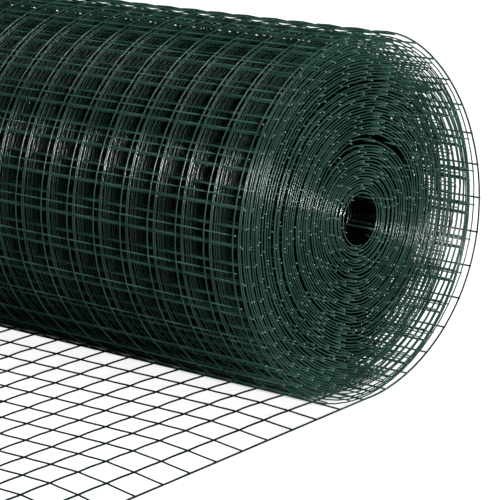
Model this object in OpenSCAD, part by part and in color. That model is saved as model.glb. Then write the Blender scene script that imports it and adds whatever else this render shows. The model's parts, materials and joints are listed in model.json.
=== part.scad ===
// Roll of welded wire fencing, coated green, lying on its side with its free end unrolled on the floor.
// The fence is one long piece of mesh. Its wound part is a turned solid with an open bore.
// Its outermost turn, sprung loose, and its flat free end are bars welded where they cross.

/* [Mesh] */
// Distance between neighbouring wires, along and across the fence
mesh_pitch = 25; // [15:1:50]
// Diameter of the coated wire
wire_d = 1.1; // [0.8:0.05:2]
// Depth that a cross wire is pressed into the line wires at its welds
weld_sink = 0.25; // [0.1:0.05:0.4]
// Cells across the width of the fence
width_cells = 40; // [4:1:60]
// Length of a cross wire past the middle of the outermost line wire
cross_stub = 1.5; // [1:0.25:6]

/* [Roll] */
// Diameter of the open middle of the roll
bore_d = 34; // [20:1:120]
// Turns wound close round the open middle
packed_turns = 41; // [4:1:60]
// Turns outside those, whose line wires stand as thin walls with open gaps between them
open_turns = 12; // [2:1:30]
// Slack between one turn of mesh and the next
turn_gap = 0.24; // [0.1:0.02:2]
// Depth of the groove between turns on the ends of the roll
turn_groove = 2; // [0.5:0.25:6]

/* [Loose turn] */
// How much larger the loose outermost turn is than the roll, measured on the radius
loose_slack = 1.2; // [0.8:0.1:3]
// How far the loose outermost turn has sprung back from the roll
loose_shift = 7.5; // [5:0.5:12]

/* [Free end] */
// Cross wires on the flat free end
flat_rows = 18; // [4:1:30]
// Length of the wire tails past the last cross wire
tail = 12; // [3:0.5:20]

/* [Seat] */
// Gap between the roll and the mesh under it
seat_gap = 0.15; // [0.05:0.05:0.4]

/* [Hidden] */
green = [0.10, 0.27, 0.22];

// A bar has six sides and the section area of the round wire.
bar_sides = 6;
half_side = 180 / bar_sides;
bar_flat = wire_d * sqrt(PI / (bar_sides * tan(half_side)));
bar_d = bar_flat / cos(half_side);

// The mesh lies with its line wires below and its cross wires above.
mesh_t = 2 * bar_flat - weld_sink;
line_z = bar_flat / 2;
cross_z = mesh_t - bar_flat / 2;
cross_step = cross_z - line_z;
// The fence is a whole number of cells wide, with a line wire on each side of every cell.
last_line = round(width_cells);
fence_w = last_line * mesh_pitch;
cross_len = fence_w + 2 * cross_stub;

// The wound roll
turns = packed_turns + open_turns;
turn_pitch = mesh_t + turn_gap;
bore_r = bore_d / 2;
roll_r = bore_r + (turns - 1) * turn_pitch + wire_d;
roll_w = fence_w + wire_d;
base_r = roll_r - open_turns * turn_pitch;
end_wall = turn_groove + wire_d;
roll_z = mesh_t + seat_gap + roll_r;

// The footprint is centred on the origin, front to back.
loose_r = roll_r + loose_slack;
flat_reach = (flat_rows - 1) * mesh_pitch + tail;
back_reach = loose_shift + loose_r + bar_flat / 2;
roll_y = (flat_reach - back_reach) / 2;
loose_y = roll_y + loose_shift;
loose_z = line_z + loose_r;

// Angle at which a circle of radius r round the loose turn's axis comes down on the roll, from below the axis
function landing(r) =
  let (dy = loose_y - roll_y, dz = roll_z - loose_z, d = norm([dy, dz]), reach = roll_r + seat_gap)
  90 + atan2(dz, -dy) - acos((r * r + d * d - reach * reach) / (2 * r * d));
line_end = landing(loose_r - bar_flat / 2);
cross_end = landing(loose_r - cross_step - bar_flat / 2);

// Cross wires keep their pitch from the flat end up round the loose turn.
row_angle = mesh_pitch / loose_r * 180 / PI;
first_angle = row_angle * (1 - loose_shift / mesh_pitch);
loose_rows = floor((cross_end - first_angle) / row_angle) + 1;

// Each stretch of mesh is cut half-way, midway between two cross wires.
root_rows = ceil(flat_rows / 2);
cut_y = roll_y - (root_rows - 0.5) * mesh_pitch;
lower_rows = ceil(loose_rows / 2);
cut_angle = first_angle + (lower_rows - 0.5) * row_angle;

function line_x(i) = (i - last_line / 2) * mesh_pitch;
function wall_from(i) = i < last_line ? line_x(i) - wire_d / 2 : roll_w / 2 - end_wall;
function wall_to(i) = i > 0 ? line_x(i) + wire_d / 2 : end_wall - roll_w / 2;
function turn_r(k) = bore_r + k * turn_pitch;

// Points up one end of the roll, from the bore to the outermost turn. Each turn is a flat ring with a
// groove after it. The face is at x, and the grooves go in the direction of side.
function end_points(x, side) = concat(
  [for (k = [0 : turns - 2]) each [
    [turn_r(k), x],
    [turn_r(k) + wire_d, x],
    [turn_r(k) + (wire_d + turn_pitch) / 2, x + side * turn_groove]]],
  [[turn_r(turns - 1), x]]);

// Points along the outside of the roll. The line wires of the outer turns lie on each other, one wall for each
// line wire. The two end walls are thicker, because the grooves between turns go into them.
function wall_points() = [for (i = [0 : last_line]) each [
  if (i > 0) [base_r, wall_from(i)],
  [roll_r, wall_from(i)],
  [roll_r, wall_to(i)],
  if (i < last_line) [base_r, wall_to(i)]]];

function reversed(points) = [for (i = [len(points) - 1 : -1 : 0]) points[i]];

// A cross wire along X, centred, with flats above and below
module cross_wire() {
  rotate([0, 90, 0]) rotate(half_side)
    cylinder(h = cross_len, d = bar_d, center = true, $fn = bar_sides);
}

// A straight line wire along Y
module line_wire(y_from, y_to) {
  translate([0, y_to, 0]) rotate([90, 0, 0])
    cylinder(h = y_to - y_from, d = bar_d, $fn = bar_sides);
}

// A line wire bent round the X axis, between two angles from straight down
module bent_line_wire(a_from, a_to) {
  rotate([90, 0, 90]) rotate(a_from - 90)
    rotate_extrude(angle = a_to - a_from, $fn = 180)
      translate([loose_r, 0]) rotate(half_side) circle(d = bar_d, $fn = bar_sides);
}

// A flat stretch of mesh, with its own cross wires
module flat_mesh(y_from, y_to, first_row, last_row) {
  union() {
    for (i = [0 : last_line])
      translate([line_x(i), 0, line_z]) line_wire(y_from, y_to);
    for (row = [first_row : last_row])
      translate([0, roll_y - row * mesh_pitch, cross_z]) cross_wire();
  }
}

// A stretch of mesh on the loose turn, with its own cross wires
module bent_mesh(a_from, a_to, first_row, last_row) {
  translate([0, loose_y, loose_z]) union() {
    for (i = [0 : last_line])
      translate([line_x(i), 0, 0]) bent_line_wire(a_from, a_to);
    for (row = [first_row : last_row])
      rotate([first_angle + row * row_angle, 0, 0])
        translate([0, 0, cross_step - loose_r]) cross_wire();
  }
}

// The wound turns, with a ring for each turn on both ends and a wall for each line wire
module roll() {
  color(green)
    translate([0, roll_y, roll_z]) rotate([0, 90, 0])
      rotate_extrude($fn = 180)
        polygon(concat(end_points(-roll_w / 2, 1), wall_points(), reversed(end_points(roll_w / 2, -1))));
}

module loose_turn_upper() {
  color(green) bent_mesh(cut_angle, line_end, lower_rows, loose_rows - 1);
}

module loose_turn_lower() {
  color(green) bent_mesh(0, cut_angle, 0, lower_rows - 1);
}

module free_end_root() {
  color(green) flat_mesh(cut_y, loose_y, 0, root_rows - 1);
}

module free_end_tip() {
  color(green) flat_mesh(roll_y - flat_reach, cut_y, root_rows, flat_rows - 1);
}

roll();
loose_turn_upper();
loose_turn_lower();
free_end_root();
free_end_tip();
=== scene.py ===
# %% [markdown]
# # A roll of welded wire fencing
# The object is one long strip of green coated mesh. Most of it is wound into a roll that lies on its side.
# The outermost turn has sprung loose, and the free end lies flat on the floor in front of the roll.
# The solids of the part are the frame: they load first, and the wires made below follow them.

# %% Load the frame
import json
import math

import bpy
import numpy as np
from mathutils import Matrix, Vector


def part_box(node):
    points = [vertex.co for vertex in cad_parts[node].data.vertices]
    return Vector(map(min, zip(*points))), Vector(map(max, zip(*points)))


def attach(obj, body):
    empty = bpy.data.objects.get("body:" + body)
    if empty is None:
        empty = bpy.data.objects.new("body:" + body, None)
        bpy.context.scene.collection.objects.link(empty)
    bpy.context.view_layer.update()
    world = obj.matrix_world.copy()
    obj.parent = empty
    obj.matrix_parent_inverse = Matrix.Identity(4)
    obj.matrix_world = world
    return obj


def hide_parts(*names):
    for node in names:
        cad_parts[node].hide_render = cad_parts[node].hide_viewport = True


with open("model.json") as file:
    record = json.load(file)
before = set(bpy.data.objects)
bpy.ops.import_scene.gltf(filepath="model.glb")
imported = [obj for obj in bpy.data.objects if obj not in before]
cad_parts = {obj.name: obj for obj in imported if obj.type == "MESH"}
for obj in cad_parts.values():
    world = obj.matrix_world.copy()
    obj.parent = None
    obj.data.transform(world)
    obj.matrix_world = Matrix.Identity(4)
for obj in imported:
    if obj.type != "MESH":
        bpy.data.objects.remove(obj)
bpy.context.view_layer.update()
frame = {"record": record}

# %% [markdown]
# ## Sizes
# The mesh has a few sizes of its own, the same as in the part: the pitch of its square cells, the thickness
# of its wire and how deep the welds press one wire into the other. The place of the roll is read from the
# frame. Its axis is the mount in the bore, and its radius is half the height of the wound solid.

# %% Sizes of the mesh and place of the roll
MM = 0.001
pitch = 25 * MM
wire_d = 1.1 * MM
weld_sink = 0.25 * MM
cross_stub = 1.5 * MM
core_d = 0.75 * MM
width_cells = 40
line_count = width_cells + 1
fence_w = width_cells * pitch
half_w = fence_w / 2
cross_step = wire_d - weld_sink

bore = next(m for m in frame["record"]["mounts"] if m["name"] == "core_bore")
axis_y, axis_z = bore["pos_m"][1], bore["pos_m"][2]
bore_r = bore["dims"]["r_mm"] * MM
roll_low, roll_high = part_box("roll")
roll_r = (roll_high[2] - roll_low[2]) / 2
loose_low, loose_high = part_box("loose_turn_lower")
tip_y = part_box("free_end_tip")[0][1]
print("roll axis at", axis_y, axis_z, "radius", roll_r, "bore radius", bore_r)

# %% [markdown]
# ## The way the fence runs
# A strip that is wound up is easiest to describe by the path of its middle. All the wires along the fence are
# that path, moved sideways, and all the wires across it sit on it at equal steps. The path starts at the tip
# of the free end, runs along the floor, goes up behind the roll as the loose turn, lands on the top of the
# roll and then winds inwards, turn after turn, to the bore.

# %% The free end and the loose turn
flat_z = wire_d / 2
loose_y = loose_low[1]
loose_r = loose_high[1] - loose_y - wire_d / 2
loose_z = flat_z + loose_r
line_r = roll_r - wire_d / 2
land_angle = math.radians(184)
flat_length = loose_y - tip_y
loose_length = loose_r * land_angle

# Where the loose turn leaves the circle of its solid: how far out, and round which angle, over which reach
bulges = [(5.8 * MM, 62, 36), (-2.6 * MM, 132, 32)]
# The share of the loose turn after which it comes down on the roll, and the share that this takes
settle_from, settle_over = 0.8, 0.2


def on_circle(centre_y, centre_z, radius, angle):
    """Points on a circle in the YZ plane. The angle starts below the centre and goes up behind it."""
    return centre_y + radius * np.sin(angle), centre_z - radius * np.cos(angle)


def free_end_points(steps):
    """The free end: straight along the floor, from its tip to below the loose turn."""
    y = np.linspace(tip_y, loose_y, steps + 1)
    return np.column_stack([np.zeros_like(y), y, np.full_like(y, flat_z)])


def loose_turn_points(steps):
    """The loose turn: the path of the solid, bulging a little more where it rises from the floor."""
    angle = np.linspace(0, land_angle, steps + 1)
    bulge = sum(height * np.exp(-((angle - math.radians(middle)) / math.radians(reach)) ** 2)
                for height, middle, reach in bulges)
    y, z = on_circle(loose_y, loose_z, loose_r + bulge, angle)
    ease = np.clip((angle / land_angle - settle_from) / settle_over, 0, 1) ** 2
    end_y, end_z = on_circle(axis_y, axis_z, line_r, angle)
    return np.column_stack([np.zeros_like(y), y + (end_y - y) * ease, z + (end_z - z) * ease])


print("flat length", flat_length, "loose turn length", loose_length)

# %% [markdown]
# ## Uneven turns
# A hand-wound roll isn't an even spiral. Most turns lie close, a few leave a gap, and that changes on the way
# round. A spacing weight does this. It starts as a sum of slow, weak waves over the turns and the angle.
# Behind the roll the outer turns are squeezed into bunches, and a few wide gaps are listed one by one. Adding
# the weights up from the bore outwards gives each turn its radius, so turns never cross, however uneven.

# %% Spacing of the wound turns
wound_turns = 52.5
inner_r = bore_r + wire_d / 2
turn_pitch = (line_r - inner_r) / wound_turns
rng = np.random.default_rng(7)
turn_grid = np.linspace(0, wound_turns, 1051)
angle_grid = np.linspace(0, 2 * math.pi, 145)
wave_count = 14
wave_height = 0.035


def round_the_roll(middle_deg, reach_deg):
    """A soft bump over the angle, 1 round its middle."""
    away = np.angle(np.exp(1j * (angle_grid - math.radians(middle_deg)))) / math.radians(reach_deg)
    return np.exp(-away ** 4)


def smooth_step(value):
    """A soft rise from 0 to 1."""
    value = np.clip(value, 0, 1)
    return value * value * (3 - 2 * value)


log_weight = np.zeros((len(turn_grid), len(angle_grid)))
for wave in range(wave_count):
    per_turn = rng.uniform(0.06, 0.5)
    round_turn = rng.integers(-2, 3)
    phase = rng.uniform(0, 2 * math.pi)
    log_weight += wave_height * np.cos(2 * math.pi * per_turn * turn_grid[:, None]
                                       + round_turn * angle_grid[None, :] + phase)

# Each bunch: how much it is squeezed, within how many turns of the outside, and over how many that eases off
inward = wound_turns - turn_grid
bunches = [(0.22, 21, 3), (0.22, 14, 2)]
bunched = sum(squeeze * smooth_step((within - inward) / ease) for squeeze, within, ease in bunches)
weight = np.exp(log_weight) - bunched[:, None] * round_the_roll(65, 80)[None, :]

# Each gap: the turn that it lies inside, counted from the outside, its middle angle and half its length round
# the roll in degrees, and its width in millimetres
gaps = [(4, 33, 32, 3.0), (6, 48, 36, 3.2), (8, 52, 36, 3.2), (11, 100, 32, 1.5), (11, 60, 50, 1.2),
        (13, 84, 18, 2.6), (13, 65, 60, 1.0), (19, 75, 75, 2.2), (1, 115, 35, 1.4), (0, 285, 60, 2.4),
        (2, 280, 60, 1.2), (16, 225, 60, 2.0), (27, 255, 60, 1.8), (41, 300, 60, 1.0), (49, 250, 40, 0.8),
        (34, 138, 34, 3.8), (35, 176, 18, 2.6), (36, 202, 24, 2.4)]
spread = 0.14
for turn, middle, reach, width in gaps:
    place = turn + 0.5 + (math.radians(middle) - land_angle) / (2 * math.pi)
    across = (inward - place) / spread
    height = width * MM / turn_pitch / (spread * math.sqrt(math.pi))
    weight += height * np.exp(-across[:, None] ** 2) * round_the_roll(middle, reach)[None, :]
total = np.cumsum(weight, axis=0)
share = (total - total[0]) / (total[-1] - total[0])


def wound_share(turn, angle):
    """How far out a turn lies at an angle, from 0 at the bore to 1 at the outside."""
    row = np.clip(turn / turn_grid[1], 0, len(turn_grid) - 1.001)
    column = np.mod(angle, 2 * math.pi) / angle_grid[1]
    i, j = row.astype(int), np.minimum(column.astype(int), len(angle_grid) - 2)
    a, b = row - i, column - j
    return (share[i, j] * (1 - a) * (1 - b) + share[i + 1, j] * a * (1 - b)
            + share[i, j + 1] * (1 - a) * b + share[i + 1, j + 1] * a * b)


print("mean pitch of the turns in mm:", turn_pitch / MM)

# %% [markdown]
# ## The wound part of the path
# The turns are pushed a little backwards against the loose turn, the inner ones most. Behind the roll they
# all lie slack, a little farther out. The turn next to the loose one has sprung away from the roll as well.
# Each turn also wanders sideways by about a millimetre at most.

# %% The wound turns
lean_back = 2.4 * MM
lean_angle = math.radians(80)
lean_from, lean_over = 0.4, 0.8
spring_out = 4.0 * MM
spring_angle, spring_reach = math.radians(75), math.radians(33)
slack_share = 0.025
slack_angle, slack_reach = math.radians(77), math.radians(65)
wander_from_turn = 2.5
wander_waves = [(rng.uniform(0.05, 0.9), rng.uniform(0, 2 * math.pi), rng.uniform(0.1, 0.24))
                for _ in range(9)]


def wander(turns_in):
    """Sideways shift of the fence, growing over the first turns from the outside."""
    shift = sum(size * np.sin(2 * math.pi * f * turns_in + p) for f, p, size in wander_waves)
    return MM * shift * np.clip(turns_in / wander_from_turn, 0, 1)


def wound_points(from_turn, to_turn, steps_per_turn):
    """Path points from one count of turns inwards to another. Turn 0 starts where the loose turn lands."""
    steps = max(2, round((to_turn - from_turn) * steps_per_turn))
    turns_in = np.linspace(from_turn, to_turn, steps + 1)
    angle = land_angle + 2 * math.pi * turns_in
    radius = inner_r + (line_r - inner_r) * wound_share(wound_turns - turns_in, angle)
    depth = (line_r - radius) / (line_r - inner_r)
    lean = lean_back * (0.5 * smooth_step((turns_in - lean_from) / lean_over) + 0.5 * smooth_step(depth * 2))
    sprung = np.exp(-((angle - 2 * math.pi - spring_angle) / spring_reach) ** 2)
    behind = np.angle(np.exp(1j * (angle - slack_angle))) / slack_reach
    radius = radius * (1 + slack_share * np.exp(-behind ** 2)) + spring_out * sprung
    centre_y = axis_y + lean * math.sin(lean_angle)
    centre_z = axis_z - lean * math.cos(lean_angle)
    y, z = on_circle(centre_y, centre_z, radius, angle)
    return np.column_stack([wander(turns_in), y, z])


def path_length(points):
    return float(np.sum(np.linalg.norm(np.diff(points, axis=0), axis=1)))


print("wound length in metres:", path_length(wound_points(0, wound_turns, 48)))

# %% [markdown]
# ## Finishes
# The wire has a smooth, rather glossy plastic coating, a dark green that turns bluish where it reflects the
# light. Noise in Object coordinates varies the colour and the gloss slowly along the wire, and a fine bump
# gives it the faint orange peel of a dipped coating. Where the cross wires were cut, the bare bright steel of
# their core shows.

# %% Helpers for materials
def new_material(name):
    material = bpy.data.materials.new(name)
    material.use_nodes = True
    tree = material.node_tree
    return material, tree.nodes, tree.links, tree.nodes["Principled BSDF"]


def noise_ramp(nodes, links, scale, low, high, detail=2.0):
    """A noise in Object coordinates through a colour ramp."""
    place = nodes.new("ShaderNodeTexCoord")
    noise = nodes.new("ShaderNodeTexNoise")
    ramp = nodes.new("ShaderNodeValToRGB")
    noise.inputs["Scale"].default_value = scale
    noise.inputs["Detail"].default_value = detail
    ramp.color_ramp.elements[0].position = 0.35
    ramp.color_ramp.elements[1].position = 0.65
    ramp.color_ramp.elements[0].color = (*low, 1)
    ramp.color_ramp.elements[1].color = (*high, 1)
    links.new(place.outputs["Object"], noise.inputs["Vector"])
    links.new(noise.outputs["Fac"], ramp.inputs["Fac"])
    return ramp.outputs["Color"], noise.outputs["Fac"]


def mapped(nodes, links, value, low, high, least, most=1.0):
    """A value mapped smoothly from low..high to least..most."""
    node = nodes.new("ShaderNodeMapRange")
    node.interpolation_type = "SMOOTHSTEP"
    node.inputs["From Min"].default_value = low
    node.inputs["From Max"].default_value = high
    node.inputs["To Min"].default_value = least
    node.inputs["To Max"].default_value = most
    links.new(value, node.inputs["Value"])
    return node.outputs["Result"]


def maths(nodes, links, operation, a, b=0.0):
    """One sum. Each of the two values is a number or another node's output."""
    node = nodes.new("ShaderNodeMath")
    node.operation = operation
    for socket, value in zip(node.inputs, (a, b)):
        if isinstance(value, bpy.types.NodeSocket):
            links.new(value, socket)
        else:
            socket.default_value = value
    return node.outputs[0]


print("material helpers ready")

# %% [markdown]
# ## Light and dark in the roll
# The roll is dark between its turns and brighter on its outside and its ends. The lights alone don't give
# quite that, so painted shade and painted light go into the coating's colour by its place, and its gloss
# follows them. The place is a distance from the axis of the roll and a distance along it, both from Object
# coordinates.

# %% Shade and shine by place
def painted_light_and_shade(nodes, links):
    """Painted shade and painted light in the coating at a place, and how strongly it shines there."""
    place = nodes.new("ShaderNodeTexCoord")
    split = nodes.new("ShaderNodeSeparateXYZ")
    links.new(place.outputs["Object"], split.inputs["Vector"])
    along = maths(nodes, links, "ABSOLUTE", split.outputs["X"])
    behind = maths(nodes, links, "SUBTRACT", split.outputs["Y"], axis_y)
    above = maths(nodes, links, "SUBTRACT", split.outputs["Z"], axis_z)
    squares = maths(nodes, links, "ADD", maths(nodes, links, "MULTIPLY", behind, behind),
                    maths(nodes, links, "MULTIPLY", above, above))
    radius = maths(nodes, links, "SQRT", squares)

    # Painted shade and light: darker with depth and lighter at the outside, and darker still below the
    # outermost turns close to an end
    depth = mapped(nodes, links, radius, 85 * MM, roll_r - 1 * MM, 0.12, 1.2)
    outermost = mapped(nodes, links, radius, roll_r - 30 * MM, roll_r - 14 * MM, 0.0)
    clear_of_end = mapped(nodes, links, along, half_w - 70 * MM, half_w - 40 * MM, 1.0, 0.2)
    inside = maths(nodes, links, "MULTIPLY", depth, maths(nodes, links, "MAXIMUM", clear_of_end, outermost))

    # Less painted shade in the bore, painted light on the ends, and painted shade on the mesh that is off the
    # roll
    lining = mapped(nodes, links, radius, bore_r + 3 * MM, bore_r + 8 * MM, 0.45, 0.0)
    on_end = mapped(nodes, links, along, half_w - 10 * MM, half_w - 3 * MM, 0.0, 1.2)
    off_roll = mapped(nodes, links, radius, roll_r + 4 * MM, roll_r + 8 * MM, 1.0, 0.3)
    inside = maths(nodes, links, "MAXIMUM", inside, lining)
    painted_shading = maths(nodes, links, "MULTIPLY", maths(nodes, links, "MAXIMUM", inside, on_end), off_roll)

    # Less shine on the ends and the outside, more in the bore; the shine is also scaled by the painted shade
    # and light
    dull_end = mapped(nodes, links, along, half_w - 10 * MM, half_w - 3 * MM, 1.0, 0.5)
    dull_outside = mapped(nodes, links, radius, roll_r - 8 * MM, roll_r - 2 * MM, 0.9, 0.4)
    glint = mapped(nodes, links, radius, bore_r + 3 * MM, bore_r + 8 * MM, 3.0, 1.0)
    shine = maths(nodes, links, "MULTIPLY", maths(nodes, links, "MULTIPLY", dull_end, dull_outside), glint)
    return painted_shading, maths(nodes, links, "MULTIPLY", painted_shading, shine)


print("shading helper ready")

# %% [markdown]
# ## The coating and the cut ends
# The line wires and the cross wires have the same green, with one difference. The cross wires lie along the
# roll, so a light off its end would flash on them all at once. Their coating is duller, and its colour is a
# little lighter as a painted sheen in place of the highlights that it no longer catches.

# %% Materials
def green_coating(name, dark, light, gloss, smooth, rough):
    """The coating of a wire: its darkest and lightest green, its gloss, and the range of its roughness."""
    material, nodes, links, shader = new_material(name)
    colour, _ = noise_ramp(nodes, links, 35, dark, light)
    # The random green is multiplied by the painted shade and light of its place, and the gloss is scaled by
    # them too
    painted_shading, shine_by_painted_shade = painted_light_and_shade(nodes, links)
    shaded = nodes.new("ShaderNodeMix")
    shaded.data_type = "RGBA"
    shaded.blend_type = "MULTIPLY"
    shaded.inputs["Factor"].default_value = 1.0
    links.new(colour, shaded.inputs["A"])
    links.new(painted_shading, shaded.inputs["B"])
    links.new(shaded.outputs["Result"], shader.inputs["Base Color"])
    links.new(maths(nodes, links, "MULTIPLY", shine_by_painted_shade, gloss), shader.inputs["Specular IOR Level"])
    roughness, _ = noise_ramp(nodes, links, 90, (smooth, smooth, smooth), (rough, rough, rough))
    links.new(roughness, shader.inputs["Roughness"])
    _, grain = noise_ramp(nodes, links, 420, (0, 0, 0), (1, 1, 1))
    bump = nodes.new("ShaderNodeBump")
    bump.inputs["Strength"].default_value = 0.4
    bump.inputs["Distance"].default_value = 0.0002
    links.new(grain, bump.inputs["Height"])
    links.new(bump.outputs["Normal"], shader.inputs["Normal"])
    return material


def cut_steel():
    material, nodes, links, shader = new_material("cut_steel")
    colour, _ = noise_ramp(nodes, links, 400, (0.22, 0.25, 0.23), (0.45, 0.49, 0.46))
    links.new(colour, shader.inputs["Base Color"])
    shader.inputs["Metallic"].default_value = 0.6
    shader.inputs["Roughness"].default_value = 0.45
    return material


coating = green_coating("green_coating", (0.008, 0.025, 0.020), (0.015, 0.040, 0.032), 0.55, 0.14, 0.24)
# The lighter greens of the cross wire coating are a painted sheen, in place of the highlights that it no
# longer catches
dull_coating_painted_sheen = green_coating("dull_coating_painted_sheen", (0.014, 0.038, 0.031), (0.024, 0.060, 0.049), 0.02, 0.65, 0.75)
bare_end = cut_steel()
print("materials:", coating.name, dull_coating_painted_sheen.name, bare_end.name)

# %% [markdown]
# ## Welded mesh along a path
# One Geometry Nodes tree makes every stretch of the mesh. It copies the path once for each line wire and
# gives the copies a round section. Then it places a straight cross wire at every pitch along the path, on the
# inner side of the line wires. A modelled wire for each would be thousands of objects. A tree has its sizes
# as inputs, so the turns deep in the roll can have fewer sides than those outside.

# %% A helper for node trees
class Tree:
    """A Geometry Nodes tree with named inputs."""

    def __init__(self, name):
        self.group = bpy.data.node_groups.new(name, "GeometryNodeTree")
        self.socket_ids = {}
        self.group.interface.new_socket("Path", in_out="INPUT", socket_type="NodeSocketGeometry")
        self.group.interface.new_socket("Mesh", in_out="OUTPUT", socket_type="NodeSocketGeometry")
        self.start = self.group.nodes.new("NodeGroupInput")
        self.end = self.group.nodes.new("NodeGroupOutput")

    def size(self, name, kind):
        """A new input of the tree."""
        socket = self.group.interface.new_socket(name, in_out="INPUT", socket_type=kind)
        self.socket_ids[name] = socket.identifier

    def given(self, name):
        """What was set for an input."""
        return self.start.outputs[name]

    def add(self, kind, settings=None, **inputs):
        """A node with its settings and its inputs. An underscore in a name stands for a space."""
        node = self.group.nodes.new(kind)
        for key, value in (settings or {}).items():
            setattr(node, key, value)
        for key, value in inputs.items():
            self.feed(node.inputs[key.replace("_", " ")], value)
        return node

    def feed(self, socket, value):
        """Give a socket a plain value or another node's output."""
        if isinstance(value, bpy.types.NodeSocket):
            self.group.links.new(value, socket)
        else:
            socket.default_value = value

    def maths(self, operation, a, b):
        node = self.group.nodes.new("ShaderNodeMath")
        node.operation = operation
        self.feed(node.inputs[0], a)
        self.feed(node.inputs[1], b)
        return node.outputs[0]

    def vectors(self, operation, a, b=None, scale=None):
        node = self.group.nodes.new("ShaderNodeVectorMath")
        node.operation = operation
        self.feed(node.inputs[0], a)
        if b is not None:
            self.feed(node.inputs[1], b)
        if scale is not None:
            self.feed(node.inputs["Scale"], scale)
        return node.outputs["Vector"]

    def bar(self, radius, length, sides, parts, material):
        """A bar along the roll."""
        upright = self.add("GeometryNodeMeshCylinder", {"fill_type": "TRIANGLE_FAN"}, Vertices=sides,
                           Side_Segments=parts, Radius=radius, Depth=length)
        lying = self.add("GeometryNodeTransform", Geometry=upright.outputs["Mesh"],
                         Rotation=(0.0, math.pi / 2, 0.0))
        return self.add("GeometryNodeSetMaterial", Geometry=lying.outputs["Geometry"],
                        Material=material).outputs["Geometry"]

    def across(self, x):
        """A vector along the roll."""
        node = self.group.nodes.new("ShaderNodeCombineXYZ")
        self.feed(node.inputs["X"], x)
        return node.outputs["Vector"]


print("tree helper ready")

# %% The tree of the mesh
waver_scale = 22.0
core_shows = 0.1 * MM


def mesh_tree():
    tree = Tree("welded_mesh")
    for name, kind in [("First wire", "NodeSocketFloat"), ("Line wires", "NodeSocketInt"),
                       ("Line spacing", "NodeSocketFloat"), ("Wire diameter", "NodeSocketFloat"),
                       ("Wire sides", "NodeSocketInt"), ("Cross wires", "NodeSocketInt"),
                       ("Pitch", "NodeSocketFloat"), ("First cross wire", "NodeSocketFloat"),
                       ("Cross wire length", "NodeSocketFloat"), ("Cross wire parts", "NodeSocketInt"),
                       ("Core diameter", "NodeSocketFloat"),
                       ("Inward step", "NodeSocketFloat"), ("Unevenness", "NodeSocketFloat"),
                       ("Coating", "NodeSocketMaterial"), ("Cross wire coating", "NodeSocketMaterial"),
                       ("Cut end", "NodeSocketMaterial")]:
        tree.size(name, kind)
    given = tree.given
    radius = tree.maths("MULTIPLY", given("Wire diameter"), 0.5)
    path = tree.add("GeometryNodeMeshToCurve", Mesh=given("Path")).outputs["Curve"]

    # Line wires: the path, once for each place across the fence
    row = tree.add("GeometryNodeMeshLine", Count=given("Line wires"),
                   Start_Location=tree.across(given("First wire")), Offset=tree.across(given("Line spacing")))
    copies = tree.add("GeometryNodeInstanceOnPoints", Points=row.outputs["Mesh"], Instance=path)
    wires = tree.add("GeometryNodeRealizeInstances", Geometry=copies.outputs["Instances"])
    waver = tree.add("ShaderNodeTexNoise", Scale=waver_scale, Detail=1.0)
    middle = tree.vectors("SUBTRACT", waver.outputs["Color"], (0.5, 0.5, 0.5))
    nudged = tree.add("GeometryNodeSetPosition", Geometry=wires.outputs["Geometry"],
                      Offset=tree.vectors("SCALE", middle, scale=given("Unevenness")))
    section = tree.add("GeometryNodeCurvePrimitiveCircle", Resolution=given("Wire sides"), Radius=radius)
    tubes = tree.add("GeometryNodeCurveToMesh", Curve=nudged.outputs["Geometry"],
                     Profile_Curve=section.outputs["Curve"], Fill_Caps=True)
    coated = tree.add("GeometryNodeSetMaterial", Geometry=tubes.outputs["Mesh"], Material=given("Coating"))

    # Places of the cross wires: at every pitch along the path, a step inwards.
    # Sockets 4 and 5 of the trim are its start and end as lengths.
    steps = tree.maths("SUBTRACT", given("Cross wires"), 1)
    last = tree.maths("ADD", given("First cross wire"), tree.maths("MULTIPLY", steps, given("Pitch")))
    stretch = tree.add("GeometryNodeTrimCurve", {"mode": "LENGTH"}, Curve=path)
    tree.feed(stretch.inputs[4], given("First cross wire"))
    tree.feed(stretch.inputs[5], last)
    places = tree.add("GeometryNodeCurveToPoints", {"mode": "COUNT"}, Curve=stretch.outputs["Curve"],
                      Count=given("Cross wires"))
    inward = tree.vectors("CROSS_PRODUCT", (1.0, 0.0, 0.0), places.outputs["Tangent"])
    seated = tree.add("GeometryNodeSetPosition", Geometry=places.outputs["Points"],
                      Offset=tree.vectors("SCALE", inward, scale=given("Inward step")))

    # A cross wire: a coated bar, with a thinner core that shows at its cut ends
    skin = tree.bar(radius, given("Cross wire length"), given("Wire sides"), given("Cross wire parts"),
                    given("Cross wire coating"))
    core_length = tree.maths("ADD", given("Cross wire length"), core_shows)
    core = tree.bar(tree.maths("MULTIPLY", given("Core diameter"), 0.5), core_length, given("Wire sides"),
                    given("Cross wire parts"), given("Cut end"))
    bar = tree.add("GeometryNodeJoinGeometry")
    tree.group.links.new(core, bar.inputs["Geometry"])
    tree.group.links.new(skin, bar.inputs["Geometry"])
    any_at_all = tree.maths("GREATER_THAN", given("Cross wires"), 0)
    bars = tree.add("GeometryNodeInstanceOnPoints", Points=seated.outputs["Geometry"],
                    Instance=bar.outputs["Geometry"], Selection=any_at_all)

    both = tree.add("GeometryNodeJoinGeometry")
    tree.group.links.new(bars.outputs["Instances"], both.inputs["Geometry"])
    tree.group.links.new(coated.outputs["Geometry"], both.inputs["Geometry"])
    made = tree.add("GeometryNodeRealizeInstances", Geometry=both.outputs["Geometry"])
    smooth = tree.add("GeometryNodeSetShadeSmooth", Geometry=made.outputs["Geometry"])
    tree.group.links.new(smooth.outputs["Geometry"], tree.end.inputs["Mesh"])
    return tree


mesh_maker = mesh_tree()
print("inputs of the tree:", list(mesh_maker.socket_ids))

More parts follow.
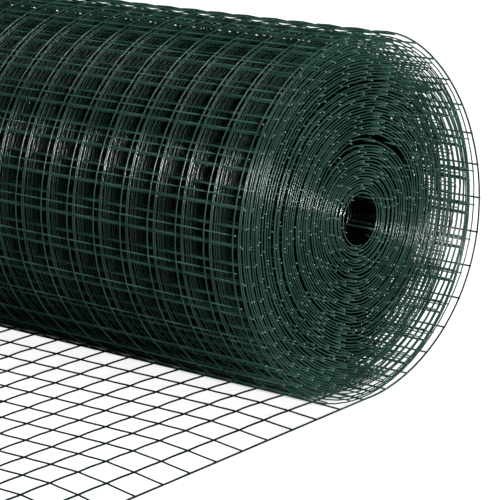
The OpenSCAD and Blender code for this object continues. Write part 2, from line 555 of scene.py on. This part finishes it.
# %% [markdown]
# ## Making a stretch
# A stretch starts as a bare chain of points. The tree turns it into wires, and the result is stored as a
# plain mesh, so nothing is left to be worked out later. Not every stretch has the same thickness of wire: lit
# wires look thinner in a photo than they are, and dark wires against a white floor look wider.

# %% From a path to a plain mesh
unevenness = 0.3 * MM
tail = 12 * MM
loose_stout = 1.15
end_stout = 0.84
hidden_stout = 1.5
pieces = {}
travelled = 0.0


def widened(sides):
    """How much larger a wire with a few flat sides is made, to look as wide as a round one."""
    return math.pi / (sides * math.sin(math.pi / sides))


def make_stretch(name, points, sides, first_cross=None, parts=1, columns=None, stout=1.0, tips=None):
    """Wires along a path. columns gives the line wires to make, as a first number, a count and a step.

    stout is their thickness, as a share of the wire's own, and tips is the finish of the cut ends."""
    chain = bpy.data.meshes.new(name)
    chain.from_pydata([tuple(p) for p in points], [(i, i + 1) for i in range(len(points) - 1)], [])
    piece = bpy.data.objects.new(name, chain)
    bpy.context.collection.objects.link(piece)
    first, count, step = columns or (0, line_count, 1)
    crossings = 0 if first_cross is None else int((path_length(points) - first_cross) / pitch + 1)
    modifier = piece.modifiers.new("mesh", "NODES")
    modifier.node_group = mesh_maker.group
    values = {
        "First wire": first * pitch - half_w,
        "Line wires": count,
        "Line spacing": step * pitch,
        "Wire diameter": wire_d * stout * widened(sides),
        "Wire sides": sides,
        "Cross wires": crossings,
        "Pitch": pitch,
        "First cross wire": first_cross or 0.0,
        "Cross wire length": fence_w + 2 * cross_stub,
        "Cross wire parts": parts,
        "Core diameter": core_d,
        "Inward step": cross_step,
        "Unevenness": unevenness,
        "Coating": coating,
        "Cross wire coating": dull_coating_painted_sheen,
        "Cut end": tips or bare_end}
    for key, value in values.items():
        modifier[mesh_maker.socket_ids[key]] = value
    piece.update_tag()
    depsgraph = bpy.context.evaluated_depsgraph_get()
    plain = bpy.data.meshes.new_from_object(piece.evaluated_get(depsgraph), depsgraph=depsgraph)
    piece.modifiers.remove(modifier)
    piece.data = plain
    piece.data.name = name
    bpy.data.meshes.remove(chain)
    plain.calc_loop_triangles()
    print(name, "has", len(plain.loop_triangles), "triangles")
    return piece


def first_cross_after(length):
    """Distance from a place along the fence to the next cross wire."""
    return (tail - length) % pitch


# %% The free end
points = free_end_points(108)
pieces["free_end"] = make_stretch("free_end", points, 6, first_cross=tail, parts=120, stout=loose_stout,
                                  tips=coating)
travelled += path_length(points)

# How many cells in from the edge the mesh still lies flat, and how many the lift inside that reaches
flat_cells, lifted_cells = 1.1, 7.5


def off_edge(cells):
    """0 at the edge of the fence, 1 farther in."""
    return 1 - np.exp(-(cells / flat_cells) ** 2)


def lay_wavy(piece, lift, arch, sag):
    """Lift the free end near its edge, and bend its wires a little between one weld and the next."""
    corners = np.zeros(len(piece.data.vertices) * 3)
    piece.data.vertices.foreach_get("co", corners)
    corners = corners.reshape(-1, 3)
    x, y = corners[:, 0], corners[:, 1]
    from_edge = np.maximum((half_w - np.abs(x)) / pitch, 0)
    lines = np.arange(line_count)
    at_lines = off_edge(lines) * np.exp(-(lines / lifted_cells) ** 2)
    towards_tip = np.clip(0.5 + 0.1 * (axis_y - y) / pitch, 0.5, 1.5)
    raised = lift * np.interp(from_edge, lines, at_lines) * towards_tip
    from_roll = smooth_step((loose_y - y) / (3 * pitch))
    between_rows = np.abs(np.sin(math.pi * (y - tip_y - tail) / pitch))
    between_lines = np.abs(np.sin(math.pi * x / pitch))
    corners[:, 2] += from_roll * (raised + off_edge(from_edge) * (arch * between_rows - sag * between_lines))
    piece.data.vertices.foreach_set("co", corners.ravel())
    piece.data.update()


lay_wavy(pieces["free_end"], 4.2 * MM, 0.4 * MM, 0.2 * MM)

# %% The loose turn
points = loose_turn_points(40)
pieces["loose_turn"] = make_stretch("loose_turn", points, 6, first_cross=first_cross_after(travelled),
                                    stout=loose_stout)
travelled += path_length(points)

# %% [markdown]
# ## The wound turns
# The outer turns are seen through the cells of those above them, so they are whole. Further in, only the
# selvage wires and the cross wires are as fine as those outside. The line wires between the ends are drawn
# with few sides and stout enough to close the slits between turns, because no light comes through there.

# %% Outer turns
# Each band: its name, its first and last turn, the steps in a turn, the sides of its wire and how stout it is
deep_turn = 6
outer_bands = [("outer_turns", 0, 3, 64, 7, 0.85), ("second_band", 3, deep_turn, 60, 5, 0.88)]
for name, from_turn, to_turn, steps, sides, stout in outer_bands:
    points = wound_points(from_turn, to_turn, steps)
    pieces[name] = make_stretch(name, points, sides, first_cross_after(travelled), stout=stout)
    travelled += path_length(points)

# %% Ends and cross wires of the inner turns
points = wound_points(deep_turn, wound_turns, 50)
pieces["end_wires"] = make_stretch("end_wires", points, 6, first_cross_after(travelled),
                                   columns=(0, 2, width_cells), stout=end_stout)
travelled += path_length(points)

# %% Line wires of the inner turns, and the lining of the bore
between_ends = (1, line_count - 2, 1)
bands = [("third_band", deep_turn, 14, 52), ("fourth_band", 14, 22, 48), ("inner_band", 22, 36, 40),
         ("core_band", 36, wound_turns - 1, 32)]
for name, from_turn, to_turn, steps in bands:
    points = wound_points(from_turn, to_turn, steps)
    pieces[name] = make_stretch(name, points, 3, columns=between_ends, stout=hidden_stout)
points = wound_points(wound_turns - 1, wound_turns, 40)
pieces["bore_lining"] = make_stretch("bore_lining", points, 5, columns=between_ends)
print("fence length in metres:", travelled)

# %% [markdown]
# ## The view
# The camera is set to the photo's view, found from the crossings of the flat mesh. It stands to the right of
# the free end and a little above, far away with a long lens, and leans slightly.

# %% Camera
image_px = 500
focal_px = 2457
azimuth, elevation, lean = math.radians(42.014), math.radians(15.384), math.radians(-2.268)
camera_place = Vector((1.51485, -1.08446, 0.54998))
back = Vector((math.sin(azimuth) * math.cos(elevation), -math.cos(azimuth) * math.cos(elevation),
               math.sin(elevation)))
right = Vector((0, 0, 1)).cross(back).normalized()
up = back.cross(right)
right, up = (math.cos(lean) * right + math.sin(lean) * up, math.cos(lean) * up - math.sin(lean) * right)

camera_data = bpy.data.cameras.new("camera")
camera_data.sensor_width = 36
camera_data.lens = camera_data.sensor_width * focal_px / image_px
camera = bpy.data.objects.new("camera", camera_data)
bpy.context.collection.objects.link(camera)
camera.matrix_world = Matrix((
    (right.x, up.x, back.x, camera_place.x),
    (right.y, up.y, back.y, camera_place.y),
    (right.z, up.z, back.z, camera_place.z),
    (0, 0, 0, 1)))
bpy.context.scene.camera = camera
print("lens in mm:", camera_data.lens)

# %% [markdown]
# ## Floor and light
# The floor is plain and white, and takes a soft shadow. Most of its white is a glow that only the camera
# sees. That glow is off in a strip under the roll, a painted shadow where the floor shows only its own lit
# grey. A small, strong softbox stands off the right end of the roll. It puts the bright band along the front
# and the bright wedges on the end. A large, slightly cool one hangs overhead, and a third lights the left end
# and the back. The surroundings look white to the camera and light the roll only faintly.

# %% Floor
floor_mesh = bpy.data.meshes.new("floor")
reach = 12.0
floor_mesh.from_pydata([(-reach, -reach, 0), (reach, -reach, 0), (reach, reach, 0), (-reach, reach, 0)], [],
                       [(0, 1, 2, 3)])
floor = bpy.data.objects.new("floor", floor_mesh)
bpy.context.collection.objects.link(floor)
floor_paint, nodes, links, floor_shader = new_material("floor_paint")
floor_shader.inputs["Base Color"].default_value = (0.3, 0.3, 0.3, 1)
floor_shader.inputs["Roughness"].default_value = 0.9
floor_shader.inputs["Specular IOR Level"].default_value = 0.1
floor_shader.inputs["Emission Color"].default_value = (1, 1, 1, 1)

# The painted shadow under the roll, a strip where the floor's glow is off: its middle, and where it starts to
# fade out at its sides and its ends
painted_shadow_middle = axis_y + 20 * MM
floor_glow = 0.92
floor_view = nodes.new("ShaderNodeLightPath")
floor_place = nodes.new("ShaderNodeTexCoord")
floor_split = nodes.new("ShaderNodeSeparateXYZ")
links.new(floor_place.outputs["Object"], floor_split.inputs["Vector"])
from_middle = maths(nodes, links, "ABSOLUTE",
                    maths(nodes, links, "SUBTRACT", floor_split.outputs["Y"], painted_shadow_middle))
along_roll = maths(nodes, links, "ABSOLUTE", floor_split.outputs["X"])
past_side = mapped(nodes, links, from_middle, 36 * MM, 47 * MM, 0.0)
past_end = mapped(nodes, links, along_roll, half_w - 40 * MM, half_w - 12 * MM, 0.0)
glow = maths(nodes, links, "MULTIPLY", maths(nodes, links, "MAXIMUM", past_side, past_end), floor_glow)
links.new(maths(nodes, links, "MULTIPLY", glow, floor_view.outputs["Is Camera Ray"]),
          floor_shader.inputs["Emission Strength"])
floor_mesh.materials.append(floor_paint)
print("floor:", floor.name)

# %% Lights
world = bpy.data.worlds.new("studio")
bpy.context.scene.world = world
world.use_nodes = True
nodes, links = world.node_tree.nodes, world.node_tree.links
background = nodes["Background"]
light_path = nodes.new("ShaderNodeLightPath")
seen = nodes.new("ShaderNodeMapRange")
links.new(light_path.outputs["Is Camera Ray"], seen.inputs["Value"])
seen.inputs["To Min"].default_value = 0.08
seen.inputs["To Max"].default_value = 1.0
links.new(seen.outputs["Result"], background.inputs["Strength"])
background.inputs["Color"].default_value = (1, 1, 1, 1)


def softbox(name, azimuth_deg, elevation_deg, distance, size, watts, tint=(1, 1, 1)):
    """A square light that faces the roll."""
    data = bpy.data.lights.new(name, "AREA")
    data.shape = "SQUARE"
    data.size = size
    data.energy = watts
    data.color = tint
    lamp = bpy.data.objects.new(name, data)
    bpy.context.collection.objects.link(lamp)
    a, e = math.radians(azimuth_deg), math.radians(elevation_deg)
    way = Vector((math.sin(a) * math.cos(e), -math.cos(a) * math.cos(e), math.sin(e)))
    lamp.location = Vector((0, axis_y, axis_z)) + way * distance
    lamp.rotation_euler = way.to_track_quat("Z", "Y").to_euler()
    return lamp


key = softbox("key", 80, 8, 3.0, 0.36, 115)
overhead = softbox("overhead", 0, 84, 2.2, 1.6, 48, (0.87, 0.95, 0.97))
far_side = softbox("far_side", 250, 15, 3.0, 1.4, 80)
bpy.context.scene.view_settings.view_transform = "Standard"
print("lights:", key.name, overhead.name, far_side.name)

# %% [markdown]
# ## Putting it on the frame
# Nothing on a roll of fence moves against the rest, so every stretch rides on the one body. Each stands for
# the solids that it replaces, and these are hidden.

# %% Ride on the frame
stands_for = {"free_end": ["free_end_root", "free_end_tip"],
              "loose_turn": ["loose_turn_upper", "loose_turn_lower"]}
for name, piece in pieces.items():
    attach(piece, "root")
    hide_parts(*stands_for.get(name, ["roll"]))
